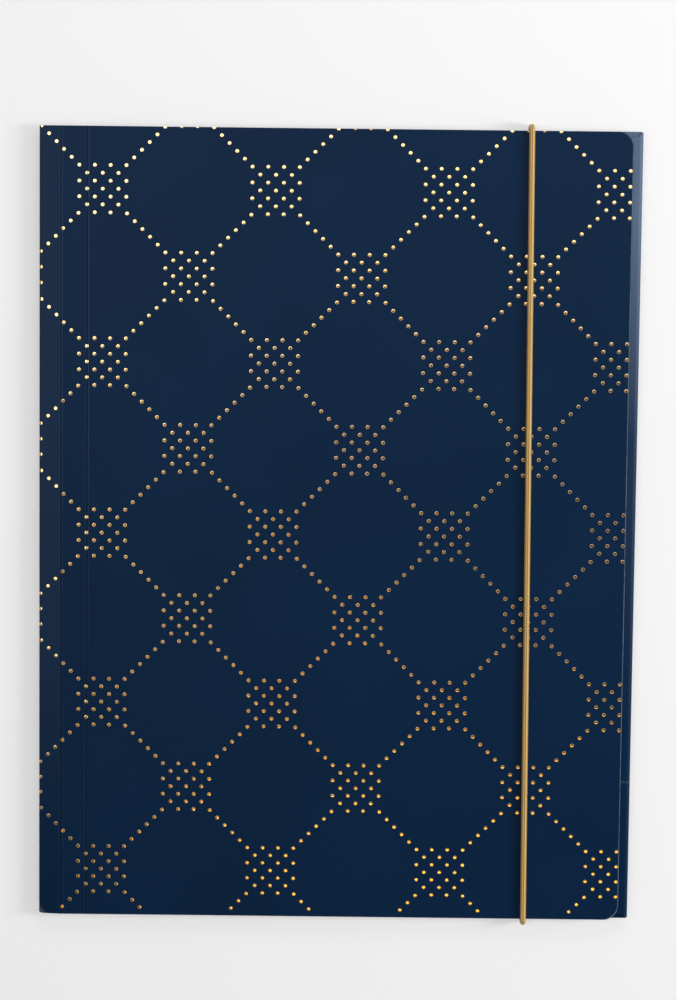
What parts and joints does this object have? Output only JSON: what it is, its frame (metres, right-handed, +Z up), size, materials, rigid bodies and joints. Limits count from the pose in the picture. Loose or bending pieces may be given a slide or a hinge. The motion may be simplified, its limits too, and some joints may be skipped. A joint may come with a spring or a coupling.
{
  "type": "elastic folder",
  "caption": "Closed A4 card folder with inner flaps and score lines beside the spine, held shut by an upright round elastic cord",
  "frame": {"origin": "under the middle of the closed folder, on the surface that it lies on", "axes": "+X from the spine fold to the open side, +Y towards the top edge, +Z up from the back cover to the front cover"},
  "size_m": [0.24, 0.3244, 0.0097],
  "materials": {
    "card": "satin navy printed card with gold foil dots",
    "cord": "braided gold elastic cord",
    "barb": "plain steel"
  },
  "bodies": {
    "back": {"back_cover_with_flaps": "card", "elastic_cord": "cord", "upper_cord_barb": "barb", "lower_cord_barb": "barb"},
    "front": {"front_cover": "card"}
  },
  "joints": [
    {"name": "cover_hinge", "type": "hinge", "parent": "back", "child": "front", "pos_m": [-0.12015, 0, 0.00485], "axis": [0, -1, 0], "range_deg": [0, 180], "deforming": ["elastic_cord"]}
  ]
}
